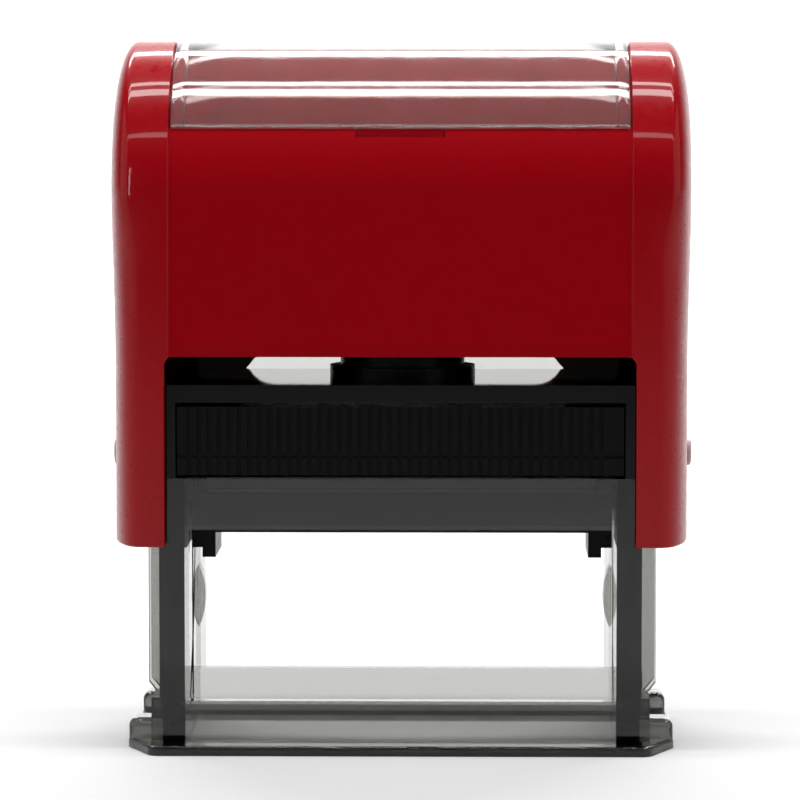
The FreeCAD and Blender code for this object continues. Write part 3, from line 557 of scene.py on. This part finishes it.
def make_index_window():
    """Clear vault in the cap's recess, thicker along its two ends."""
    seat = math.asin((WINDOW_LOW.z - SPRING_LINE) / HALF_DEPTH)
    facet = math.radians(1.7)
    middle = spread(seat + facet, math.pi - seat - facet, math.radians(2.5))
    angles = [seat] + middle + [math.pi - seat]
    half = WINDOW_HIGH.x
    border = half - 1.6 * MM
    xs = [-half, -border - 0.1 * MM, -border] + spread(-border, border, 6 * MM)[1:-1]
    xs += [border, border + 0.1 * MM, half]
    outer = HALF_DEPTH
    points, faces = [], []
    for angle in angles:
        reach = outer + (0.035 * MM if angle in (angles[0], angles[-1]) else 0)
        for x in xs:
            height = SPRING_LINE + outer * math.sin(angle)
            points.append((x, -reach * math.cos(angle), height))
    count = len(points)
    for angle in angles:
        for x in xs:
            thick = 0.85 * MM if abs(x) > border + 0.05 * MM else 0.6 * MM
            inner = outer - thick
            points.append((x, -inner * math.cos(angle), SPRING_LINE + inner * math.sin(angle)))
    width = len(xs)
    for r in range(len(angles) - 1):
        for c in range(width - 1):
            cell = grid_cell(r, c, width)
            faces.append(cell)
            faces.append(tuple(reversed([i + count for i in cell])))
    for r in range(len(angles) - 1):
        for c in (0, width - 1):
            a, b = r * width + c, (r + 1) * width + c
            faces.append((a, b, b + count, a + count))
    for c in range(width - 1):
        for r in (0, len(angles) - 1):
            a, b = r * width + c, r * width + c + 1
            faces.append((a, b, b + count, a + count))
    window = add_piece("index_window_visible", points, faces, CLEAR)
    bevel(window, 0.12 * MM, 2, 60)
    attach(window, "window")
    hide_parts("index_window")


# Soft pieces and the spring

def ridge_levels(half, radius, step):
    """Levels across a rounded slab: close together in its rounded edges."""
    edge = [half - radius + radius * math.sin(angle) for angle in quarter(4)]
    middle = spread(-(half - radius), half - radius, step)
    return merge_levels([-level for level in edge] + middle + edge, 0.001 * MM)


def slab_faces(levels):
    """Points and quads on the six sides of a box whose grid lines are given for each axis."""
    points, faces = [], []
    for axis in range(3):
        first, second = [k for k in range(3) if k != axis]
        for end in (levels[axis][0], levels[axis][-1]):
            start = len(points)
            for a in levels[first]:
                for b in levels[second]:
                    point = [0.0, 0.0, 0.0]
                    point[axis], point[first], point[second] = end, a, b
                    points.append(Vector(point))
            width = len(levels[second])
            for row in range(len(levels[first]) - 1):
                for column in range(width - 1):
                    a = start + row * width + column
                    faces.append((a, a + 1, a + 1 + width, a + width))
    return points, faces


def make_soft_slab(node, body, material, radius, crown):
    """A padded slab in a soft node's place: rounded, crowned, its sides drawn in."""
    low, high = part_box(node)
    half = (high - low) / 2
    centre = (high + low) / 2
    steps = (1.1 * MM, 1.1 * MM, half.z)
    levels = [ridge_levels(half[axis], radius, steps[axis]) for axis in range(3)]
    points, faces = slab_faces(levels)
    shaped = []
    for point in points:
        limits = [half[k] - radius for k in range(3)]
        core = Vector([max(-limits[k], min(limits[k], point[k])) for k in range(3)])
        away = point - core
        if away.length > 1e-9:
            point = core + away.normalized() * radius
        u, v = point.x / half.x, point.y / half.y
        bow = crown * (1 - (1 - u ** 4) * (1 - v ** 4))
        ripple = 0.25 * crown * (field.noise(point * 420) - 0.6)
        height = point.z / half.z
        sides = 0.35 * crown
        moved = Vector((point.x * (1 - sides / half.x * (1 - v ** 2)),
                        point.y * (1 - sides / half.y * (1 - u ** 2)),
                        point.z - height * max(0.0, bow - ripple)))
        shaped.append(centre + moved)
    pad = add_piece(f"{node}_visible", shaped, faces, material, 80)
    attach(pad, body)
    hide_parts(node)


def make_spring():
    """Compression spring with closed end turns; each wire end is capped with a flat face."""
    low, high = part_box("return_spring")
    wire = 0.6 * MM
    coil = high.x - wire
    turns, steps, round_steps = 8.0, 40, 12
    count = int(turns * steps)
    length = high.z - low.z - 2 * wire
    closed, closed_pitch = 0.9, 0.42
    saved = 1 - closed_pitch
    whole = turns - 2 * closed * saved
    points, faces = [], []
    for index in range(count + 1):
        turn = index / steps
        share = min(turn, closed) * closed_pitch + max(0.0, turn - closed)
        share -= saved * max(0.0, turn - (turns - closed))
        z = low.z + wire + length * share / whole
        angle = 2 * math.pi * turn
        outward = Vector((math.cos(angle), math.sin(angle), 0))
        for k in range(round_steps):
            bend = 2 * math.pi * k / round_steps
            height = Vector((0, 0, z + wire * math.sin(bend)))
            points.append(outward * (coil + wire * math.cos(bend)) + height)
    for index in range(count):
        for k in range(round_steps):
            a, b = index * round_steps + k, index * round_steps + (k + 1) % round_steps
            faces.append((a, b, b + round_steps, a + round_steps))
    faces.append(tuple(range(round_steps)))
    faces.append(tuple(reversed(range(count * round_steps, (count + 1) * round_steps))))
    spring = add_piece("return_spring_visible", points, faces, SPRING_STEEL, 50)
    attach(spring, "frame")
    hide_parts("return_spring")
    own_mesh(spring)


# Carried-over CAD nodes

def dress(node, material, width=0.15 * MM, segments=2):
    """Give a CAD node its material and softly rounded edges."""
    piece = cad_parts[node]
    piece.data.materials.clear()
    piece.data.materials.append(material)
    flat = piece.modifiers.new("flat_faces", "DECIMATE")
    flat.decimate_type = "DISSOLVE"
    flat.angle_limit = math.radians(1.5)
    rounding = piece.modifiers.new("edge_round", "BEVEL")
    rounding.width = width
    rounding.segments = segments
    rounding.limit_method = "ANGLE"
    rounding.angle_limit = math.radians(50)


# Stage, light and camera

def make_stage():
    """Pale floor that sweeps up far behind the object."""
    material = new_material("pale_floor", (0.5, 0.5, 0.5), 0.7, Specular_IOR_Level=0.1)
    tint(material, noise(material, 5), (0.49, 0.49, 0.49), (0.51, 0.51, 0.51))
    reach, back, radius, height = 8.0, 1.6, 0.8, 3.0
    line = [(-reach, 0.0), (back, 0.0)]
    line += [(back + radius * math.sin(a), radius - radius * math.cos(a)) for a in quarter(12)][1:]
    line.append((back + radius, height))
    points = [(x, y, z) for y, z in line for x in (-reach, reach)]
    faces = [(2 * i, 2 * i + 1, 2 * i + 3, 2 * i + 2) for i in range(len(line) - 1)]
    floor = add_piece("floor", points, faces, material, 60)


def area_light(name, place, target, size, power):
    """A rectangular lamp aimed at a point; size is (width, height)."""
    data = bpy.data.lights.new(name, "AREA")
    data.shape = "RECTANGLE"
    data.size, data.size_y = size
    data.energy = power
    lamp = bpy.data.objects.new(name, data)
    lamp.location = place
    aim = Vector(target) - Vector(place)
    lamp.rotation_euler = aim.to_track_quat("-Z", "Y").to_euler()
    bpy.context.scene.collection.objects.link(lamp)


# Lamps round the cap's arch: name, angle up from the front, width, power.
LAMPS = (("rear_strip", 132.5, 0.085, 7.0), ("top_strip", 90.6, 0.042, 2.9),
         ("top_bar", 81.5, 0.077, 5.3), ("front_strip", 43.0, 0.06, 1.1))
LAMP_AWAY = 0.7
LAMP_LENGTH = 0.9
WORLD_STRENGTH = 0.06
# Lamps beside the stamp: name, side, and the power of the thin lamp in front of it.
SIDES = (("left", -1, 0.08), ("right", 1, 0.02))
FILL_POWER = 3.0
BACKDROP_POWER = 90


def make_lights():
    world = bpy.data.worlds.new("studio")
    world.use_nodes = True
    world.node_tree.nodes["Background"].inputs["Color"].default_value = (1, 1, 1, 1)
    world.node_tree.nodes["Background"].inputs["Strength"].default_value = WORLD_STRENGTH
    bpy.context.scene.world = world
    arch = Vector((0, 0, SPRING_LINE))
    for name, angle, width, power in LAMPS:
        aim = Vector((0, -math.cos(math.radians(angle)), math.sin(math.radians(angle))))
        area_light(name, arch + LAMP_AWAY * aim, arch, (LAMP_LENGTH, width), power)
    middle = (0, 0, 0.05)
    for name, side, edge_power in SIDES:
        area_light(f"{name}_fill", (side * 0.85, -0.28, 0.25), middle, (1.2, 0.9), FILL_POWER)
        area_light(f"{name}_edge", (side * 0.235, -0.58, 0.15), middle, (0.008, 0.2), edge_power)
    area_light("backdrop", (0.0, 1.0, 1.2), (0, 2.4, 0.3), (2.0, 0.6), BACKDROP_POWER)


def make_camera():
    """Long lens, a little above and to the right of the object's middle."""
    data = bpy.data.cameras.new("camera")
    data.sensor_width = 36
    data.lens = 189.9
    data.dof.use_dof = False
    camera = bpy.data.objects.new("camera", data)
    camera.location = (0.0089, -0.5175, 0.080)
    camera.rotation_euler = (math.radians(90 - 4.30), 0, math.radians(1.02))
    bpy.context.scene.collection.objects.link(camera)
    bpy.context.scene.camera = camera
    bpy.context.scene.view_settings.view_transform = "Standard"


make_camera()
make_stage()
make_lights()
make_cap()
make_index_window()
dress("base_frame", SMOKE, 0.25 * MM, 3)
dress("pad_housing", BLACK_GLOSS)
dress("spring_cup", BLACK)
dress("yoke", BLACK_MATTE)
dress("pad_tray", BLACK, 0.12 * MM)
dress("turning_block", BLACK)
make_soft_slab("ink_pad", "cartridge", FELT, 0.9 * MM, 0.25 * MM)
make_soft_slab("die_cushion", "die", FOAM, 0.12 * MM, 0.03 * MM)
make_spring()
dress("rubber_die", RUBBER, 0.1 * MM)
for side in ("left", "right"):
    dress(f"axle_pin_{side}", PIN_STEEL)
    dress(f"cam_pin_{side}", PIN_STEEL)
    dress(f"lock_button_{side}", BUTTON, 0.05 * MM)
